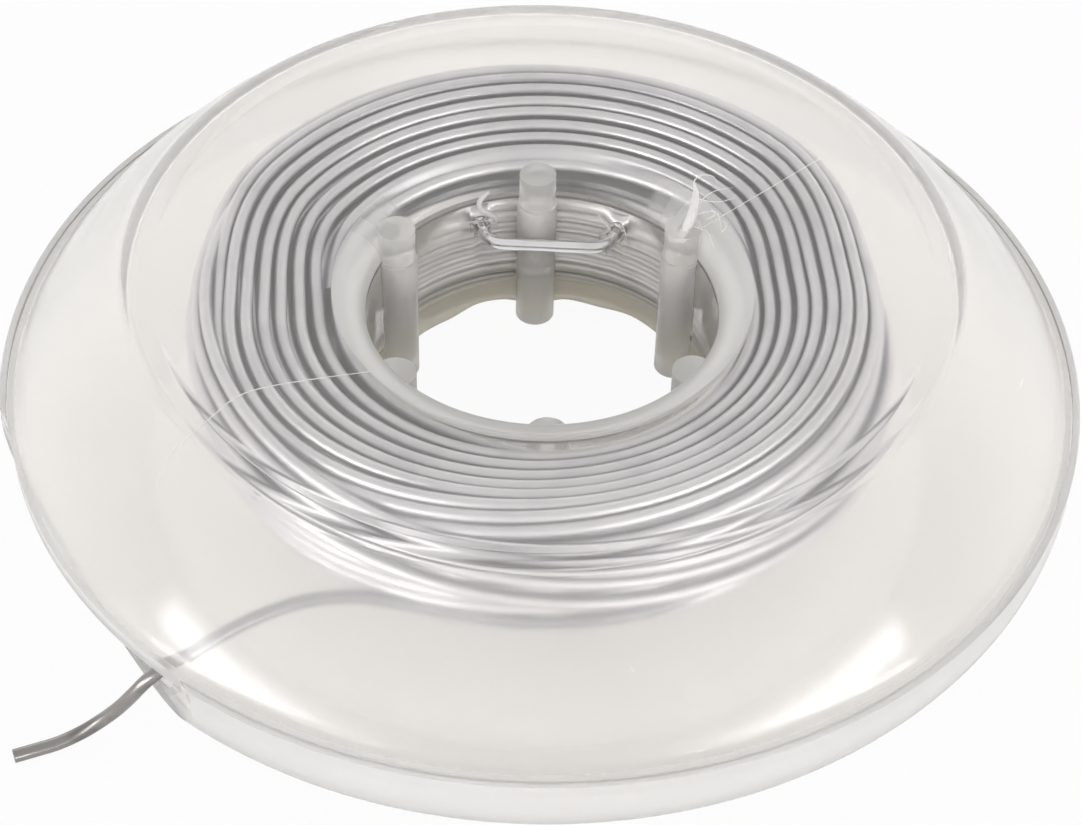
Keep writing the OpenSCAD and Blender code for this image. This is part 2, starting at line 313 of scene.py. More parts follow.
def smoothed(points, steps=6):
    """More points on a smooth line through the given ones."""
    line = []
    padded = [2 * points[0] - points[1], *points, 2 * points[-1] - points[-2]]
    for a, b, c, d in zip(padded, padded[1:], padded[2:], padded[3:]):
        for i in range(steps):
            f = i / steps
            line.append(0.5 * (2 * b + (c - a) * f + (2 * a - 5 * b + 4 * c - d) * f * f
                               + (3 * b - a - 3 * c + d) * f ** 3))
    return line + [points[-1]]


tail_points = smoothed([Vector(p) * MM for p in TAIL_ROUTE])
tail = wire_tube("wire_free_end", tail_points)
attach(tail, "root")
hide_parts("wire_tail")

# %% [markdown]
# ## Two clear shells
# Each shell is a thin dish of one even wall, so it is a lathe form: a ring of points in the shape
# of the wall's section, spun round the axis. The section is written once with `t`, the depth in
# the wall, and serves both faces of both shells; the lower one is turned over and gets a wider,
# lipped rim.

# %% Sizes of the shells, in mm above and below the joint of the rims
RIM_R = rim_high.x / MM
MIDDLE = spool_middle.z / MM
WALL = 0.9
BORE_R = 10.7
HUB_UP = 5.9
MOUTH_ROUND = 2.0
LAND_R = 14.5
RING_R = 23.8
RING_FLAT = 0.8
RING_ROUND = 1.4
LIP_WALL = 0.4
LIP_H = 1.8
LIP_ROUND = 4.3
RIM_GAP = 0.12
SEAM_DEPTH = 0.3
BEAD_H = 1.0
BEAD_OUT = 0.35
SKIRT_CROWN = 0.35
CROWN_STEPS = 12
JOINT_UP = 3.6
AGED_UP = 3.1
BEAD_R = RIM_R - LIP_WALL - RIM_GAP
SKIRT_R = BEAD_R - BEAD_OUT
SPIN_STEPS = 288
print("shell wall", WALL, "mm, rim radius", round(RIM_R, 2), "mm")


# %% Section of the shells
def arc(centre, radius, start, end, steps):
    """Points on an arc of the section, between two directions in degrees."""
    turns = [math.radians(start + (end - start) * i / steps) for i in range(steps + 1)]
    return [(centre[0] + radius * math.cos(a), centre[1] + radius * math.sin(a)) for a in turns]


def slope_over(inner, r_inner, outer, r_outer):
    """Slope, in degrees, at which a line that falls outwards touches two circles from above."""
    dr, dz = outer[0] - inner[0], outer[1] - inner[1]
    return math.degrees(math.asin((r_inner - r_outer) / math.hypot(dr, dz)) - math.atan2(dz, dr))


mouth_centre = (BORE_R + MOUTH_ROUND, HUB_UP - MOUTH_ROUND)
ring_inner = (RING_R - RING_FLAT / 2, MIDDLE - RING_ROUND)
ring_outer = (RING_R + RING_FLAT / 2, MIDDLE - RING_ROUND)
lip_centre = (RIM_R - LIP_ROUND, LIP_H)
dish = -slope_over((LAND_R, HUB_UP), 0, ring_inner, RING_ROUND)
skirt = slope_over(ring_outer, RING_ROUND, (SKIRT_R, 0), 0)
belt = slope_over(ring_outer, RING_ROUND, lip_centre, LIP_ROUND)


def hub_and_dish(bottom, t):
    """Bore wall, bell mouth, flat land and dished face, at depth t in the wall."""
    barrel = [(BORE_R + t, bottom)]
    if bottom < 0:
        barrel.append((BORE_R + t, AGED_UP))
    return (barrel + arc(mouth_centre, MOUTH_ROUND - t, 180, 90, steps=14)
            + [(LAND_R + t * math.tan(math.radians(dish / 2)), HUB_UP - t)]
            + arc(ring_inner, RING_ROUND - t, 90 + dish, 90, steps=6))


def upper_face(t, foot):
    """The same and the skirt down to its foot, a little crowned along its slope."""
    face = hub_and_dish(JOINT_UP, t) + arc(ring_outer, RING_ROUND - t, 90, 90 - skirt, steps=12)
    top = face[-1]
    for i in range(1, CROWN_STEPS):
        f = i / CROWN_STEPS
        crown = 4 * SKIRT_CROWN * f * (1 - f)
        face.append((top[0] + (foot[0] - top[0]) * f + crown * math.sin(math.radians(skirt)),
                     top[1] + (foot[1] - top[1]) * f + crown * math.cos(math.radians(skirt))))
    return face + [foot]


def lower_face(t):
    """The same for the lower shell, whose skirt runs on into a rounded lip."""
    return (hub_and_dish(-JOINT_UP, t) + arc(ring_outer, RING_ROUND - t, 90, 90 - belt, steps=8)
            + arc(lip_centre, LIP_ROUND - t, 90 - belt, 0, steps=16))


skirt_inner = (SKIRT_R - WALL / math.sin(math.radians(skirt))
               + BEAD_H / math.tan(math.radians(skirt)))
upper_section = (upper_face(0, (SKIRT_R, 0)) + [(BEAD_R, 0), (BEAD_R, -BEAD_H)]
                 + upper_face(WALL, (skirt_inner, -BEAD_H))[::-1])
lower_section = (lower_face(0)
                 + [(RIM_R, 0), (RIM_R - LIP_WALL, 0), (RIM_R - LIP_WALL, SEAM_DEPTH),
                    (RIM_R - LIP_WALL, BEAD_H + RIM_GAP), (RIM_R - WALL, BEAD_H + RIM_GAP)]
                 + lower_face(WALL)[::-1])
lower_section = [(r, -z) for r, z in lower_section]
print("slopes: dish", round(dish, 1), "skirt", round(skirt, 1), "belt", round(belt, 1), "degrees")


# %% [markdown]
# Operators act on whatever is selected, so every helper starts from an empty selection and leaves
# one finished object at the origin, with its place in its mesh.

# %% Helpers for pieces
def finish_piece(piece, name, slot, *nodes):
    """Names a piece, puts its place into its mesh, and hangs it on the spool's one body."""
    piece.name = piece.data.name = name
    select_only(piece)
    bpy.ops.object.transform_apply(location=True, rotation=True, scale=True)
    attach(piece, "root")
    if nodes:
        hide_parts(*nodes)
    return piece


def lathe(name, section, steps=SPIN_STEPS):
    """A closed solid turned from a section of (radius, height above the joint) in mm."""
    select_only()
    bpy.ops.mesh.primitive_circle_add(vertices=len(section), radius=1)
    turned = bpy.context.object
    turned.name = name
    for vertex, (r, z) in zip(turned.data.vertices, section):
        vertex.co = (r * MM, 0, (MIDDLE + z) * MM)
    bpy.ops.object.mode_set(mode="EDIT")
    bpy.ops.mesh.select_all(action="SELECT")
    bpy.ops.mesh.spin(steps=steps, angle=2 * math.pi, center=(0, 0, 0), axis=(0, 0, 1))
    bpy.ops.mesh.select_all(action="SELECT")
    bpy.ops.mesh.remove_doubles(threshold=1e-6)
    bpy.ops.mesh.normals_make_consistent(inside=False)
    bpy.ops.object.mode_set(mode="OBJECT")
    return turned


def peg(radius, low, high, place, sides=32):
    """An upright round bar or hole from one height to another, in mm above the joint."""
    select_only()
    bpy.ops.mesh.primitive_cylinder_add(
        vertices=sides, radius=radius * MM, depth=(high - low) * MM,
        location=(place[0] * MM, place[1] * MM, (MIDDLE + (low + high) / 2) * MM))
    return bpy.context.object


def joined(objects):
    """Several objects as one mesh, with its place applied."""
    select_only(*objects)
    bpy.ops.object.join()
    bpy.ops.object.transform_apply(location=True, rotation=True, scale=True)
    return bpy.context.object


def combine(target, tool, operation):
    """Applies one Boolean modifier and removes its tool."""
    modifier = target.modifiers.new(operation.lower(), "BOOLEAN")
    modifier.operation = operation
    modifier.solver = "EXACT"
    modifier.object = tool
    bpy.context.view_layer.objects.active = target
    bpy.ops.object.modifier_apply(modifier=modifier.name)
    bpy.data.objects.remove(tool)


def soften_edges(piece, width, limit=38):
    """Rounds the sharp edges a little and shades the rest smooth."""
    select_only(piece)
    bevel = piece.modifiers.new("bevel", "BEVEL")
    bevel.width = width * MM
    bevel.segments = 2
    bevel.limit_method = "ANGLE"
    bevel.angle_limit = math.radians(limit)
    bpy.ops.object.modifier_apply(modifier="bevel")
    bpy.ops.object.shade_smooth_by_angle(angle=math.radians(limit))


# %% [markdown]
# Six posts stand in the bore wall of the lower shell. Three slimmer stubs of the upper shell
# stand on three of them, each with a pin that goes down into its post. The posts are fused with
# the wall by a Boolean, so that the clear plastic has no inner surfaces where they meet, and the
# pins get true sockets.

# %% Posts, stubs and pins
POSTS = 6
STUBS = 3
POST_TURN = math.radians(32.8)
POST_RING_R = 10.2
POST_R = 1.25
STUB_R = 1.15
PIN_R = 0.65
PIN_L = 5.0
PIN_GAP = 0.05
PIN_SIDES = 20
POST_GAP = 0.05

post_turns = [POST_TURN + 2 * math.pi * i / POSTS for i in range(POSTS)]
post_places = [(POST_RING_R * math.cos(a), POST_RING_R * math.sin(a)) for a in post_turns]


def pegs(count, radius, low, high, sides=32):
    """The same peg at the places of the first few posts, as one mesh."""
    return joined([peg(radius, low, high, place, sides) for place in post_places[:count]])


upper = lathe("upper_shell_moulding", upper_section)
combine(upper, pegs(STUBS, STUB_R, JOINT_UP + POST_GAP, HUB_UP), "UNION")
combine(upper, pegs(STUBS, PIN_R, JOINT_UP - PIN_L, JOINT_UP + 1, PIN_SIDES), "UNION")
print("upper shell:", len(upper.data.polygons), "faces")

# %% [markdown]
# The lower shell also has one flat side, cut straight through its rim and lower wall, where the
# wire comes out, and two small holes through the bore wall for the wire's anchored inner end.

# %% Lower shell
FLAT_REACH = 30.4
FLAT_TURN = math.radians(212.8)
ANCHOR_UP = 1.5
ANCHOR_HOLE_R = 0.65
ANCHOR_MIDDLE = math.radians(88.5)
ANCHOR_HALF_SPAN = math.radians(23.5)

lower = lathe("lower_shell_moulding", lower_section)
combine(lower, pegs(POSTS, POST_R, -HUB_UP, JOINT_UP - POST_GAP), "UNION")
combine(lower, pegs(STUBS, PIN_R + PIN_GAP, JOINT_UP - PIN_L - PIN_GAP, JOINT_UP + 1, PIN_SIDES),
        "DIFFERENCE")

select_only()
cutter_reach = FLAT_REACH + RIM_R / 2
bpy.ops.mesh.primitive_cube_add(size=1, location=(
    cutter_reach * MM * math.cos(FLAT_TURN), cutter_reach * MM * math.sin(FLAT_TURN), MIDDLE * MM))
flat_cutter = bpy.context.object
flat_cutter.scale = (RIM_R * MM, 2 * RIM_R * MM, 3 * MIDDLE * MM)
flat_cutter.rotation_euler.z = FLAT_TURN
combine(lower, flat_cutter, "DIFFERENCE")

for side in (-1, 1):
    turn = ANCHOR_MIDDLE + side * ANCHOR_HALF_SPAN
    bpy.ops.mesh.primitive_cylinder_add(
        vertices=28, radius=ANCHOR_HOLE_R * MM, depth=4 * WALL * MM,
        location=(BORE_R * MM * math.cos(turn), BORE_R * MM * math.sin(turn),
                  (MIDDLE + ANCHOR_UP) * MM),
        rotation=(0, math.pi / 2, turn))
    combine(lower, bpy.context.object, "DIFFERENCE")
print("lower shell:", len(lower.data.polygons), "faces")

EDGE_ROUND = 0.06
for shell in (upper, lower):
    soften_edges(shell, EDGE_ROUND)
finish_piece(upper, "upper_shell_moulding", "clear_plastic", "upper_shell")
finish_piece(lower, "lower_shell_moulding", "clear_plastic", "lower_shell")

# %% [markdown]
# ## The winding
# Soft wire is wound in close turns with small uneven gaps. What makes it look wound and not
# printed is what shows in the gaps: the next layer, wound back the other way, crosses under them
# at a shallow angle. So there are two layers of real turns, and below them a plain solid that
# stops the light. The section of each layer is the winding's outline moved inwards, with rounded
# corners.

# %% Outline of the winding
COIL_GAP = 0.15
COIL_R = 20.8
COIL_SLOPE_R = 17.7
COIL_SLOPE_DROP = 1.8
COIL_LOW = HUB_UP - WALL - COIL_GAP
COIL_INNER_R = BORE_R + WALL + COIL_GAP
DISH = math.radians(dish)


def ceiling(r):
    """Upper limit of the winding under the dished cover."""
    return (HUB_UP - WALL - COIL_GAP / math.cos(DISH)
            + (r - LAND_R - WALL * math.tan(DISH / 2)) * math.tan(DISH))


def unit(a, b):
    """The direction from one point to another."""
    return (b - a).normalized()


def inset_line(points, depth):
    """An open line of 2-D points moved to its right by a depth, corners kept sharp."""
    moved = []
    for i, point in enumerate(points):
        before = unit(points[max(i - 1, 0)], points[max(i, 1)])
        after = unit(points[min(i, len(points) - 2)], points[min(i + 1, len(points) - 1)])
        n0, n1 = Vector((before.y, -before.x)), Vector((after.y, -after.x))
        moved.append(point + depth * (n0 + n1) / (1 + n0.dot(n1)))
    return moved


def round_corners(points, radii, steps=10):
    """The same line with an arc in each of its corners."""
    line = [points[0]]
    for a, b, c, radius in zip(points, points[1:], points[2:], radii):
        t0, t1 = unit(a, b), unit(b, c)
        n0, n1 = Vector((t0.y, -t0.x)), Vector((t1.y, -t1.x))
        centre = b + radius * (n0 + n1) / (1 + n0.dot(n1))
        for i in range(steps + 1):
            normal = n0.lerp(n1, i / steps).normalized()
            line.append(centre - radius * normal)
    return line + [points[-1]]


CORNER_ROUND = 2.4
SIDE_ROUND = 1.4


def layer_line(depth, r_top, r_under):
    """Section of one layer: out over the top, down the side, along the slope and in below."""
    outline = [Vector((r_top, ceiling(r_top))), Vector((COIL_R, ceiling(COIL_R))),
               Vector((COIL_R, -COIL_SLOPE_DROP)), Vector((COIL_SLOPE_R, -COIL_LOW)),
               Vector((r_under, -COIL_LOW))]
    return round_corners(inset_line(outline, depth), (CORNER_ROUND - depth, SIDE_ROUND, SIDE_ROUND))


def line_length(line):
    """Length of a line of points."""
    return sum((b - a).length for a, b in zip(line, line[1:]))


def point_along(line, s):
    """The point at a distance s along a line of points."""
    for a, b in zip(line, line[1:]):
        step = (b - a).length
        if s <= step:
            return a.lerp(b, s / step)
        s -= step
    return line[-1]


def turned(p, turn):
    """A point of the section, turned round the spool's axis, in metres."""
    return Vector((p.x * math.cos(turn), p.x * math.sin(turn), MIDDLE + p.y)) * MM


FIRST_TURN_R, LAST_TURN_R = 12.1, 13.4
outer_line = layer_line(WIRE_R / MM, FIRST_TURN_R, LAST_TURN_R)
print("outer layer is", round(line_length(outer_line), 1), "mm long in section")

# %% [markdown]
# Each layer is one spiral. A turn lies a pitch from the turn before it, and the pitch wanders
# smoothly, but two turns never come closer than the wire is thick. On one side of the spool the
# upper turns fan out, as they do where the coil has slackened, and over its back they have all
# moved outwards.

# %% Layers of turns
TURN_STEPS = 96
NOISE_VALUES = 400


def clamp(value, low, high):
    """A value held between two limits."""
    return min(max(value, low), high)


def eased(f):
    """A share from 0 to 1 with a slow start and a slow end."""
    return f * f * (3 - 2 * f)


def smooth_noise(seed, period):
    """A smooth random function of a turn count, with values from -1 to 1."""
    dice = random.Random(seed)
    values = [dice.uniform(-1, 1) for _ in range(NOISE_VALUES)]

    def value(t):
        i = int(t / period)
        f = eased(t / period - i)
        return values[i % NOISE_VALUES] * (1 - f) + values[(i + 1) % NOISE_VALUES] * f
    return value


FAN_TURN = math.radians(222)
FAN_WIDTH = math.radians(42)
FAN_REACH = 9.0


def fanned(place, turn, fan):
    """A place along the section, moved on where the upper turns fan out."""
    off = (turn - FAN_TURN + math.pi) % (2 * math.pi) - math.pi
    return place * (1 + fan * math.exp(-(off / FAN_WIDTH) ** 2 - (place / FAN_REACH) ** 2))


# In degrees round the axis, and in mm in the section.
BACK_FROM, BACK_TO = 5, 188
BACK_FADE = 38
BACK_SHIFT = 1.5
BACK_UP_FROM, BACK_UP_SPAN = 1.0, 3.2
BACK_R_FROM, BACK_R_SPAN = 11.9, 1.4


def pulled_back(p, turn):
    """A section point of the top, moved out along the dish over the back of the spool."""
    angle = math.degrees(turn) % 360
    inside = eased(clamp(min(angle - BACK_FROM, BACK_TO - angle) / BACK_FADE, 0, 1))
    height = clamp((p.y - BACK_UP_FROM) / BACK_UP_SPAN, 0, 1)
    out = inside * height * BACK_SHIFT * clamp((p.x - BACK_R_FROM) / BACK_R_SPAN, 0, 1)
    return p + Vector((out, out * math.tan(DISH)))


PITCH_WANDER = 0.18
FAST_SHARE = 0.35
LEAST_GAP = 0.015
SINK_TURNS = 0.09


def wound_turns(line, pitch, start_turn, way, seed, uneven, fan=0.0, sink=0.0):
    """Points of a spiral that follows a section line, in metres; its start lies sunk by sink mm."""
    length = line_length(line)
    slow, fast = smooth_noise(seed, 0.9), smooth_noise(seed + 1, 0.23)
    spaced = smooth_noise(seed + 2, 1.0)
    along, points = [], []
    s = 0.0
    while True:
        i = len(along)
        t = i / TURN_STEPS
        s += pitch * (1 + PITCH_WANDER * spaced(t)) / TURN_STEPS
        a = start_turn + way * 2 * math.pi * t
        place = fanned(max(s + uneven * (slow(t) + FAST_SHARE * fast(t)), 0), a, fan)
        if i >= TURN_STEPS:
            place = max(place, along[i - TURN_STEPS] + WIRE_D / MM + LEAST_GAP)
        if place > length:
            break
        along.append(place)
        p = pulled_back(point_along(line, place), a)
        p.y -= sink * max(1 - t / SINK_TURNS, 0) ** 2
        points.append(turned(p, a))
    return points


CORE_R, CORE_Z = (14.5 * MM, 17.5 * MM), (-2 * MM, 1.5 * MM)


def shade_gaps(layer):
    """How far each point faces out of the winding, 1 on top, 0 in a gap: a mask for painted shade.
    """
    shade = layer.data.attributes.new("crest", "FLOAT", "POINT")
    for vertex, value in zip(layer.data.vertices, shade.data):
        r = math.hypot(vertex.co.x, vertex.co.y)
        z = vertex.co.z - MIDDLE * MM
        out = (Vector((r, z)) - Vector((clamp(r, *CORE_R), clamp(z, *CORE_Z)))).normalized()
        side = (vertex.normal.x * vertex.co.x + vertex.normal.y * vertex.co.y) / r
        value.value = max(0.0, side * out.x + vertex.normal.z * out.y)


def wound_layer(name, points, *nodes):
    """A finished piece of wound wire, which may stand for CAD nodes."""
    layer = wire_tube(name, points)
    shade_gaps(layer)
    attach(layer, "root")
    if nodes:
        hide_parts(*nodes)
    print(name, len(points), "points,", round(len(points) / TURN_STEPS, 1), "turns")
    return layer


PITCH = 0.88
FIRST_TURN_AT = 270
SECOND_DEPTH = 1.13
outer_turns = wound_layer(
    "wire_outer_turns",
    wound_turns(outer_line, PITCH, math.radians(FIRST_TURN_AT), way=-1, seed=3,
                uneven=0.08, fan=0.42, sink=0.7),
    "wire_winding", "wire_underwinding")
second_line = layer_line(SECOND_DEPTH, 12.6, 13.0)
second_turns = wound_layer(
    "wire_second_layer",
    wound_turns(second_line, 1.0, math.radians(-40), way=1, seed=11, uneven=0.16))

# %% [markdown]
# A few turns came loose and slid over the side of the winding, so they cross the others. They
# follow the same section line, a little outside it, on a sine that is high at the left and low at
# the right.

# %% Loose turns over the side
LOOSE_TURNS = 3.2
LOOSE_FROM = math.radians(150)
LOOSE_LOWEST = math.radians(285)
LOOSE_MIDDLE = 11.2
LOOSE_PITCH = 1.15
LOOSE_SWING = 2.0
LOOSE_DRIFT = 0.4
LOOSE_DEPTH = -0.38


def loose_strand():
    """Turns that cross the others: high at the left of the winding, low at its right."""
    line = layer_line(LOOSE_DEPTH, 13.3, LAST_TURN_R)
    drift = smooth_noise(41, 0.7)
    points = []
    for i in range(int(LOOSE_TURNS * TURN_STEPS) + 1):
        t = i / TURN_STEPS
        a = LOOSE_FROM + 2 * math.pi * t
        place = (LOOSE_MIDDLE + LOOSE_PITCH * (t - LOOSE_TURNS / 2)
                 + LOOSE_SWING * math.sin(a - LOOSE_LOWEST) + LOOSE_DRIFT * drift(t))
        p = point_along(line, place)
        points.append(turned(p, a))
    return points


loose_turns = wound_layer("wire_loose_turns", loose_strand())

# %% [markdown]
# Where the turns have moved out over the back, they leave a gap beside the first one. One more
# stretch of wire lies in it, midway between its neighbours, and both of its ends dip below them.

# %% A strand in the gap at the back
STRAND_FROM, STRAND_TO = 14, 174
STRAND_STEPS = 80
STRAND_END = 0.16
STRAND_DEPTH, STRAND_DIP = 0.42, 0.9


def back_strand():
    """One more stretch of wire, between the first two turns, where the others have moved out."""
    points = []
    for i in range(STRAND_STEPS + 1):
        f = i / STRAND_STEPS
        turn = math.radians(STRAND_FROM + (STRAND_TO - STRAND_FROM) * f)
        r = FIRST_TURN_R + PITCH * (FIRST_TURN_AT - math.degrees(turn)) / 360
        near, far = (pulled_back(Vector((x, ceiling(x))), turn) for x in (r, r + PITCH))
        p = (near + far) / 2
        dip = 1 - clamp(min(f, 1 - f) / STRAND_END, 0, 1)
        p.y -= STRAND_DEPTH + STRAND_DIP * eased(dip)
        points.append(turned(p, turn))
    return points


strand_at_back = wound_layer("wire_back_strand", back_strand())

# %% [markdown]
# The first turns lie against the hub and show through the bore wall, so they are real turns too.
# The rest of the winding never shows as wire, and a plain turned solid stops the light there.

# %% Turns against the hub, and the solid
INNER_TURNS_R = COIL_INNER_R + 0.42
inner_line = [Vector((INNER_TURNS_R, -COIL_LOW + 0.8)), Vector((INNER_TURNS_R, 3.35))]
inner_turns = wound_layer(
    "wire_inner_turns",
    wound_turns(inner_line, 0.87, math.radians(20), way=1, seed=29, uneven=0.02))

FILL_DEPTH = 1.75
FILL_R = COIL_INNER_R + 1.2
FILL_STEPS = 96
fill_line = layer_line(FILL_DEPTH, FILL_R, FILL_R)
fill = lathe("wire_deep_layers", [(p.x, p.y) for p in fill_line], FILL_STEPS)
soften_edges(fill, 0.05)
finish_piece(fill, "wire_deep_layers", "solder_wire", "wire_core")

# %% [markdown]
# The wire's inner end is threaded through the hub: in by one hole, across the bore past a post,
# and out by the other. It is pulled tight, so it runs straight between two bends.

# %% Anchored inner end
ANCHOR_REACH = 8.45
ANCHOR_BEND = 1.4
ANCHOR_BEND_STEPS = 8


def anchor_route():
    """Points of the crossing in metres: straight, with an even bend at each end."""
    half = ANCHOR_HALF_SPAN
    corner = Vector((ANCHOR_REACH * math.tan(half), ANCHOR_REACH))
    centre = corner + Vector((-ANCHOR_BEND * math.tan((math.pi / 2 - half) / 2), ANCHOR_BEND))
    bend = []
    for i in range(ANCHOR_BEND_STEPS + 1):
        a = -math.pi / 2 + (math.pi / 2 - half) * i / ANCHOR_BEND_STEPS
        bend.append(centre + ANCHOR_BEND * Vector((math.cos(a), math.sin(a))))
    end_r = COIL_INNER_R + 0.5
    right = bend + [Vector((end_r * math.sin(half), end_r * math.cos(half)))]
    left = [Vector((-p.x, p.y)) for p in reversed(right)]
    turn = Matrix.Rotation(ANCHOR_MIDDLE - math.pi / 2, 2)
    return [Vector((*(turn @ p), MIDDLE + ANCHOR_UP)) * MM for p in left + right]


anchor = wound_layer("wire_anchored_end", anchor_route(), "wire_anchor")

# %% [markdown]
# ## Flash and damage
# Cheap mouldings show how they were made and used. A thin uneven skin of plastic, called flash,
# hangs from the lower end of the bore, where the two halves of the mould met. One stub was torn
# when the shells were pressed together, the wire ripped slivers from the edges of its holes, and
# a few fine hairs of plastic cling to the spool. They are small, but without them the hub looks
# drawn and not moulded.

# %% Flash at the foot of the bore
FLASH_OUT, FLASH_IN = BORE_R - 0.01, BORE_R - 0.24
FLASH_TOP, FLASH_FOOT = -3.4, -4.95
FLASH_STEPS = 192
FLASH_RAGGED = 0.32
LOBE_DEPTH, LOBE_WIDTH = 0.7, 7
POST_STEP = 360 / POSTS
flash = lathe("hub_flash", [(FLASH_IN, FLASH_FOOT), (FLASH_OUT, FLASH_FOOT + 0.05),
                            (FLASH_OUT, FLASH_TOP), (FLASH_OUT - 0.03, FLASH_TOP)], FLASH_STEPS)
ragged = smooth_noise(53, 1.0)
for vertex in flash.data.vertices:
    if vertex.co.z / MM - MIDDLE < -4:
        a = math.degrees(math.atan2(vertex.co.y, vertex.co.x)) % 360
        to_post = (a - math.degrees(POST_TURN) + POST_STEP / 2) % POST_STEP - POST_STEP / 2
        lobe = LOBE_DEPTH * math.exp(-(to_post / LOBE_WIDTH) ** 2)
        ends = min(a, 360 - a) / 20
        vertex.co.z += (FLASH_RAGGED * ragged(a / 14) * min(ends, 1) - lobe) * MM
finish_piece(flash, "hub_flash", "clear_plastic")
print("flash:", len(flash.data.polygons), "faces")

# %% [markdown]
# Each strip of torn plastic is a short thick line, and each hair a long thin one. A row holds its
# points in mm, with heights above the joint, its radius, and how the radius changes along it.

# %% Torn stub, slivers and hairs
TORN = [
    ([(8.60, 5.50, 5.3), (8.85, 5.70, 6.0), (9.17, 6.41, 6.7), (9.27, 7.03, 7.3),
      (9.13, 7.65, 7.8)], 0.30, [1.0, 1.1, 1.0, 0.7, 0.15]),
    ([(8.45, 5.20, 5.2), (8.75, 5.40, 6.2), (9.10, 6.10, 6.9), (9.22, 6.60, 7.1)],
     0.22, [1, 1, 0.6, 0.1]),
    ([(-3.56, 9.85, 4.6), (-4.12, 9.66, 4.0), (-4.05, 9.68, 3.3), (-3.17, 9.98, 2.4),
      (-3.1, 10.0, 1.6)], 0.17, [0.5, 1.0, 1.1, 1.0, 0.3]),
    ([(-5.79, 8.80, 2.84), (-4.43, 9.52, 2.4), (-2.98, 10.05, 2.15)], 0.04, [0.4, 1, 0.6]),
    ([(-4.55, 9.45, 1.44), (-3.73, 9.80, 1.67), (-2.98, 10.05, 2.07)], 0.05, [0.5, 1, 0.5]),
    ([(3.38, 9.92, 2.9), (4.17, 9.60, 2.1), (3.63, 9.80, 1.2), (4.10, 9.62, -0.3)],
     0.14, [0.5, 1, 0.9, 0.2]),
    ([(4.91, 9.22, 2.8), (5.20, 9.05, 2.0), (5.42, 8.93, 1.2)], 0.03, [1, 1, 0.6]),
    ([(9.13, 7.65, 7.8), (9.50, 8.06, 7.95), (10.24, 7.96, 8.0), (10.6, 7.6, 7.8)],
     0.05, [1, 1, 0.7, 0.3]),
    ([(9.20, 6.40, 6.7), (10.2, 7.20, 7.3), (11.59, 8.00, 7.1)], 0.03, [1, 1, 0.4]),
    ([(9.20, 6.10, 6.4), (10.5, 5.97, 6.8), (10.88, 4.81, 6.2)], 0.035, [1, 1, 0.4]),
    ([(9.10, 5.53, 6.0), (10.0, 4.60, 6.3), (10.37, 3.50, 6.0)], 0.03, [1, 1, 0.4]),
    ([(9.30, 6.80, 7.1), (10.6, 6.80, 6.9), (11.75, 7.60, 6.6)], 0.03, [1, 1, 0.4]),
    ([(9.9, 6.1, 6.05), (10.5, 6.5, 6.1), (10.3, 7.1, 6.05)], 0.05, [0.5, 1, 0.3]),
    ([(10.9, 5.0, 6.0), (11.2, 5.6, 6.1), (11.0, 6.1, 6.0)], 0.05, [0.5, 1, 0.3]),
    ([(-20.8, -16.2, 5.55), (-19.9, -15.4, 6.75), (-18.8, -14.9, 7.85), (-17.3, -12.95, 8.2),
      (-15.85, -11.2, 7.5), (-13.2, -9.3, 6.45), (-9.9, -8.0, 5.95)],
     0.032, [0.6, 1, 1, 1, 1, 1, 0.6]),
    ([(9.56, 5.29, 5.97), (13.35, 8.35, 6.36), (17.1, 10.5, 7.55)], 0.028, [0.8, 1, 0.7]),
    ([(5.18, -27.5, 3.8), (5.35, -27.75, 3.6), (5.51, -27.7, 3.5)], 0.04, [0.5, 1, 0.4]),
    ([(28.3, -4.4, 3.05), (28.15, -4.9, 3.15), (28.0, -5.35, 3.15)], 0.04, [0.5, 1, 0.4]),
]
strands = []
for route, radius, taper in TORN:
    line = smoothed([Vector((x, y, MIDDLE + z)) * MM for x, y, z in route], 5)
    strands.append(wire_tube("strand", line, radius * MM, taper, 1))
torn = finish_piece(joined(strands), "torn_plastic", "clear_plastic")
print("torn plastic:", len(torn.data.polygons), "faces")

# %% [markdown]
# ## Finishes
# The spool is plastic and solder. The plastic is clear but not optically clean: moulded thin,
# handled and slid over benches, it is faintly milky, its faces wave a little, and it carries fine
# scratches. Rough refraction gives the right behaviour by itself: wire that nearly touches the
# wall shows sharply, and wire further behind it blurs. Each kind of wear is a node group, which
# all the plastics share.

# %% Group: fine scratches
SCRATCH_SCALE = 700
SCRATCH_STRETCH = (1.0, 0.02, 0.3)
SCRATCH_SETS = ((0.4, 1.0), (1.3, 1.6), (2.3, 2.3), (2.9, 3.1))
SCRATCH_THIN = (0.76, 0.79)
PATCH_SCALE = 90
PATCH_BAND = (0.42, 0.62)


def new_group(name, inputs, output):
    """A group with float inputs (name, default) and one float output, and its two ends."""
    group = bpy.data.node_groups.new(name, "ShaderNodeTree")
    for label, default in inputs:
        socket = group.interface.new_socket(label, in_out="INPUT", socket_type="NodeSocketFloat")
        socket.default_value = default
    group.interface.new_socket(output, in_out="OUTPUT", socket_type="NodeSocketFloat")
    return group, group.nodes.new("NodeGroupInput").outputs, group.nodes.new("NodeGroupOutput")


def noise_node(tree, place, scale, detail=2.0, stretch=None, turn=0.0):
    """Noise in object space, with features of about 1/scale metres."""
    if stretch:
        mapping = feed(tree, add_node(tree, "ShaderNodeMapping"),
                       Vector=place, Rotation=(0, 0, turn), Scale=stretch)
        place = mapping.outputs[0]
    return feed(tree, add_node(tree, "ShaderNodeTexNoise"),
                Vector=place, Scale=scale, Detail=detail).outputs["Fac"]


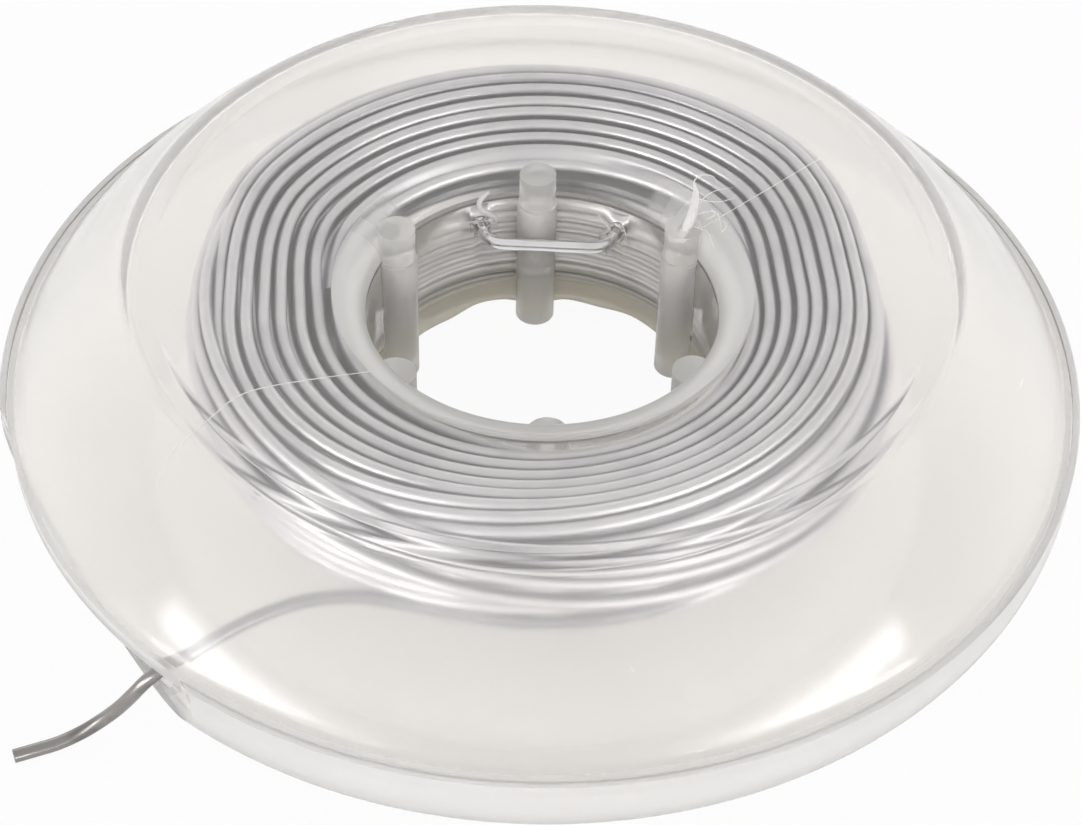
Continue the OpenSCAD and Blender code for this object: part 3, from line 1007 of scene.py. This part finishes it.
scratches, inputs, end = new_group("fine_scratches", [("Amount", 1.0)], "Mask")
place = object_place(scratches)
total = None
for turn, finer in SCRATCH_SETS:
    lines = noise_node(scratches, place, SCRATCH_SCALE * finer, 1.0, SCRATCH_STRETCH, turn)
    thin = ramp(scratches, lines, *SCRATCH_THIN)
    total = thin if total is None else math_node(scratches, "MAXIMUM", total, thin)
patches = ramp(scratches, noise_node(scratches, place, PATCH_SCALE), *PATCH_BAND)
worn = math_node(scratches, "MULTIPLY", total, patches)
feed(scratches, end, Mask=math_node(scratches, "MULTIPLY", worn, inputs["Amount"]))
print("scratch group:", len(scratches.nodes), "nodes")

# %% Group: a rubbed ring
# Spools stand and slide on these rings, so they are duller than the faces beside them.
ring_rub, inputs, end = new_group("ring_rub", [("Radius", 0.02), ("Width", 0.001)], "Mask")
axes = object_axes(ring_rub)
squares = [math_node(ring_rub, "POWER", math_node(ring_rub, "ABSOLUTE", axes[axis]), 2.0)
           for axis in ("X", "Y")]
reach = math_node(ring_rub, "SQRT", math_node(ring_rub, "ADD", *squares))
off = math_node(ring_rub, "SUBTRACT", reach, inputs["Radius"])
off = math_node(ring_rub, "ABSOLUTE", math_node(ring_rub, "DIVIDE", off, inputs["Width"]))
feed(ring_rub, end, Mask=ramp(ring_rub, math_node(ring_rub, "SUBTRACT", 1.0, off), 0.0, 0.7))
print("ring group:", len(ring_rub.nodes), "nodes")

# %% [markdown]
# Milk is a share between 0 and 1. That much of the plastic scatters light, some back and some
# through, and doesn't refract. Shadow rays see plain transparent plastic, a little darker with
# more milk, because light that had to find its way through two refracting walls would leave the
# inside dark and noisy.

# %% Milky clear plastic
PLASTIC_IOR = 1.40
THROUGH_SHARE = 0.45
TINT_SCALE, TINT_BAND = 110, (0.35, 0.75)
HAZE_SCALE, HAZE_SPREAD = 240, 0.06
WAVE_SCALE = 170
BUMP_STRENGTH = 0.5
SCRATCH_AMOUNT = 0.10
SCRATCH_ROUGH = 0.35
SCRATCH_CUT = 0.006 * MM
RUB_WIDTH = 1.6 * MM
RUB_ROUGH = 0.12
RUB_FADE = (-4 * MM, 6 * MM)


def bump(tree, height, strength, distance, invert=False):
    """A Bump node whose outline comes from a height; the distance is in metres."""
    node = add_node(tree, "ShaderNodeBump", invert=invert)
    return feed(tree, node, Height=height, Strength=strength, Distance=distance)


def clear_plastic(name, milk, roughness, wave, pale, deep):
    """Clear plastic with a share of milk, which sends light back and lets it through scattered."""
    material, tree = new_material(name)
    place = object_place(tree)
    wear = feed(tree, add_node(tree, "ShaderNodeGroup", node_tree=scratches), Amount=SCRATCH_AMOUNT)
    tint = mix_colours(tree, ramp(tree, noise_node(tree, place, TINT_SCALE, 3.0), *TINT_BAND),
                       (*pale, 1), (*deep, 1))

    haze = math_node(tree, "MULTIPLY_ADD", noise_node(tree, place, HAZE_SCALE, 3.0),
                     HAZE_SPREAD, roughness - HAZE_SPREAD / 2)
    rub = feed(tree, add_node(tree, "ShaderNodeGroup", node_tree=ring_rub),
               Radius=RING_R * MM, Width=RUB_WIDTH)
    rubbed = math_node(tree, "MULTIPLY", rub.outputs["Mask"],
                       ramp(tree, object_axes(tree)["Y"], *RUB_FADE))
    haze = math_node(tree, "MULTIPLY_ADD", rubbed, RUB_ROUGH, haze)
    haze = math_node(tree, "MULTIPLY_ADD", wear.outputs["Mask"], SCRATCH_ROUGH, haze)

    waves = bump(tree, noise_node(tree, place, WAVE_SCALE, 1.5), BUMP_STRENGTH, wave * MM)
    cuts = bump(tree, wear.outputs["Mask"], BUMP_STRENGTH, SCRATCH_CUT, invert=True)
    feed(tree, cuts, Normal=waves.outputs[0])

    clear = feed(tree, add_node(tree, "ShaderNodeBsdfPrincipled"), Base_Color=tint, Roughness=haze,
                 IOR=PLASTIC_IOR, Transmission_Weight=1 - milk, Normal=cuts.outputs[0])
    through = feed(tree, add_node(tree, "ShaderNodeBsdfTranslucent"), Color=(*pale, 1))
    milky = mix_shaders(tree, milk * THROUGH_SHARE, clear.outputs[0], through.outputs[0])
    shadow = feed(tree, add_node(tree, "ShaderNodeBsdfTransparent"),
                  Color=(1 - milk, 1 - milk, 1 - milk, 1))
    path = add_node(tree, "ShaderNodeLightPath")
    show(tree, mix_shaders(tree, path.outputs["Is Shadow Ray"], milky, shadow.outputs[0]))
    return material


# %% [markdown]
# One function makes every plastic, so a finish is one row of numbers. The dishes are clearest,
# the skirts hazier, and the thick rims and posts milkier, because light goes a longer way in
# them. The bore's mouth clears from front to back in a few grades and its foot has yellowed. The
# seam of the rims is dark: it holds dust, and it is painted with the shade in the gap.

# %% The plastics: milk, roughness, waves in mm, pale and deep tint
MOUTH_GRADES = 4
PLASTICS = {
    "milky_dish_plastic": (0.05, 0.13, 0.01, (0.992, 0.980, 0.964), (0.980, 0.966, 0.946)),
    "milky_skirt_plastic": (0.12, 0.15, 0.01, (0.990, 0.976, 0.956), (0.976, 0.960, 0.936)),
    "milky_mouth_plastic": (0.50, 0.24, 0.01, (0.985, 0.975, 0.955), (0.970, 0.955, 0.930)),
    "aged_foot_plastic": (0.50, 0.24, 0.01, (0.96, 0.93, 0.85), (0.92, 0.88, 0.79)),
    "milky_thick_plastic": (0.30, 0.30, 0.02, (0.995, 0.988, 0.978), (0.985, 0.975, 0.960)),
    "clear_post_plastic": (0.36, 0.20, 0.01, (0.985, 0.972, 0.952), (0.970, 0.955, 0.930)),
    "torn_plastic": (0.50, 0.35, 0.0, (0.99, 0.985, 0.975), (0.98, 0.97, 0.955)),
    # Dust and painted shade: dark plastic in the seam where the rims meet.
    "dust_and_shade_seam_plastic": (0.80, 0.45, 0.01, (0.52, 0.50, 0.47), (0.40, 0.38, 0.35)),
}
GRADE_NAMES = ["mouth_plastic_grade_" + str(i) for i in range(MOUTH_GRADES)]
for i, name in enumerate(GRADE_NAMES):
    PLASTICS[name] = (0.06 + 0.11 * i, 0.19 + 0.012 * i, 0.01,
                      (0.990, 0.978, 0.960), (0.975, 0.962, 0.940))
plastics = {name: clear_plastic(name, *finish) for name, finish in PLASTICS.items()}
print(len(plastics), "plastics")

# %% [markdown]
# Solder is a soft tin alloy. Drawn through a die it comes out bright, then it greys in the air
# and is dulled where it rubs, so its finish is a metal of middling roughness with soft duller
# blotches. The turns against the hub and the crossing in the bore get lighter copies of it, as
# painted light, and the crossing is smoother too; the second layer and the solid below get a
# darker copy, as painted shade. The tail's free end is darker where it lies outside the rims.

# %% The solders: bright and dull colour, roughness, painted shade colour in the gaps
BLOTCH_SCALE, BLOTCH_BAND = 320, (0.45, 0.7)
BLOTCH_ROUGH = 0.08
PAINTED_GAP_SHADE_BAND = (0.05, 0.60)
DENT_SCALE = 1500
DENT_STRENGTH, DENT_DEPTH = 0.06, 0.01 * MM
# Painted light and shade: the hub's and the crossing's solders are lighter copies of the wound one,
# the second layer's a darker copy, and the last column is painted shade in the gaps.
SOLDERS = {
    "wound_solder": ((0.76, 0.755, 0.785), (0.69, 0.685, 0.72), 0.37, (0.34, 0.34, 0.37)),
    "painted_shade_solder": ((0.60, 0.60, 0.63), (0.50, 0.50, 0.53), 0.32, (0.24, 0.24, 0.26)),
    "painted_light_hub_solder": ((0.95, 0.945, 0.95), (0.86, 0.855, 0.865), 0.30, (0.50, 0.50, 0.52)),
    "painted_light_crossing_solder": ((0.92, 0.915, 0.92), (0.80, 0.795, 0.80), 0.14, None),
    "dark_end_solder": ((0.36, 0.345, 0.33), (0.24, 0.23, 0.22), 0.26, None),
}


def solder_finish(name, bright, dull, roughness, painted_gap_shade):
    """Drawn solder: a soft metal with duller blotches, and painted shade down in the gaps."""
    material, tree = new_material(name)
    place = object_place(tree)
    blotches = ramp(tree, noise_node(tree, place, BLOTCH_SCALE, 3.0), *BLOTCH_BAND)
    colour = mix_colours(tree, blotches, (*bright, 1), (*dull, 1))
    # Painted shade: darker colour where the wire faces into a gap between turns.
    if painted_gap_shade:
        crest = add_node(tree, "ShaderNodeAttribute", attribute_name="crest").outputs["Fac"]
        colour = mix_colours(tree, ramp(tree, crest, *PAINTED_GAP_SHADE_BAND), (*painted_gap_shade, 1), colour)
    dents = bump(tree, noise_node(tree, place, DENT_SCALE), DENT_STRENGTH, DENT_DEPTH)
    metal = feed(tree, add_node(tree, "ShaderNodeBsdfPrincipled"), Metallic=1.0, Base_Color=colour,
                 Roughness=math_node(tree, "MULTIPLY_ADD", blotches, BLOTCH_ROUGH, roughness),
                 Normal=dents.outputs[0])
    show(tree, metal.outputs[0])
    return material


solders = {name: solder_finish(name, *finish) for name, finish in SOLDERS.items()}
print(len(solders), "solders")

# %% [markdown]
# A shell is one moulding and stays one mesh. Each of its faces picks a finish by where it lies.

# %% Finishes of the two shells
# None stands for the finish of the bore's mouth, which isn't the same on both shells.
SHELL_FINISHES = ["milky_dish_plastic", None, "milky_thick_plastic", "milky_skirt_plastic",
                  "clear_post_plastic", "dust_and_shade_seam_plastic"]
DISH_FACE, BORE_FACE, RIM_FACE, SKIRT_FACE, POST_FACE, SEAM_FACE, GRADE_FACE = range(7)
BORE_FINISHES = {upper: "milky_mouth_plastic", lower: "aged_foot_plastic"}
CLEAR_FROM, CLEAR_TO = 36, 160
GRADE_SPAN = 6
NEAR_BORE, NEAR_RIM, SKIRT_START = 0.05, 0.02, RING_R + 0.6


def shell_face(shell, middle):
    """Which finish a face of a shell gets, from the place of its middle."""
    r = math.hypot(middle.x, middle.y) / MM
    turn = math.degrees(math.atan2(middle.y, middle.x))
    up = middle.z / MM - MIDDLE
    if r < BORE_R - NEAR_BORE:
        return POST_FACE
    # The seam's faces get the dark plastic of dust and painted shade.
    if shell is lower and abs(r - RIM_R + LIP_WALL) < NEAR_RIM and -SEAM_DEPTH < up < 0:
        return SEAM_FACE
    if shell is lower and r < BORE_R + NEAR_BORE and up < -AGED_UP:
        return BORE_FACE
    if r > SKIRT_R + NEAR_RIM:
        return RIM_FACE
    if r < BORE_R + MOUTH_ROUND and abs(up) > HUB_UP - MOUTH_ROUND:
        inside = min(turn - CLEAR_FROM, CLEAR_TO - turn) / GRADE_SPAN
        if inside > 0 and shell is upper:
            return GRADE_FACE + max(MOUTH_GRADES - 1 - int(inside), 0)
        return BORE_FACE
    return SKIRT_FACE if r > SKIRT_START else DISH_FACE


for shell, bore_finish in BORE_FINISHES.items():
    shell.data.materials.clear()
    for name in SHELL_FINISHES + GRADE_NAMES:
        shell.data.materials.append(plastics[name or bore_finish])
    for face in shell.data.polygons:
        face.material_index = shell_face(shell, face.center)
    print(shell.name, "has", len(shell.data.materials), "finishes")

# %% Finishes of the wire and the small pieces
TAIL_DARK_END_R = 30.5 * MM


def dress(material, *pieces):
    """Gives pieces one material, in place of what they had."""
    for piece in pieces:
        piece.data.materials.clear()
        piece.data.materials.append(material)


dress(solders["wound_solder"], outer_turns, loose_turns, strand_at_back)
# Painted light: the turns against the hub get a lighter copy of the wound solder.
dress(solders["painted_light_hub_solder"], inner_turns)
# Painted shade: the second layer and the solid get a darker copy.
dress(solders["painted_shade_solder"], second_turns, fill)
# Painted light: the crossing gets a lighter, smoother copy.
dress(solders["painted_light_crossing_solder"], anchor)
# The free end is darker where it lies outside the rims.
dress(solders["dark_end_solder"], tail)
tail.data.materials.append(solders["wound_solder"])
for face in tail.data.polygons:
    face.material_index = int(math.hypot(face.center.x, face.center.y) < TAIL_DARK_END_R)
dress(plastics["aged_foot_plastic"], flash)
dress(plastics["torn_plastic"], torn)
print("materials:", len(bpy.data.materials))

# %% [markdown]

# %% The end
bpy.context.view_layer.update()
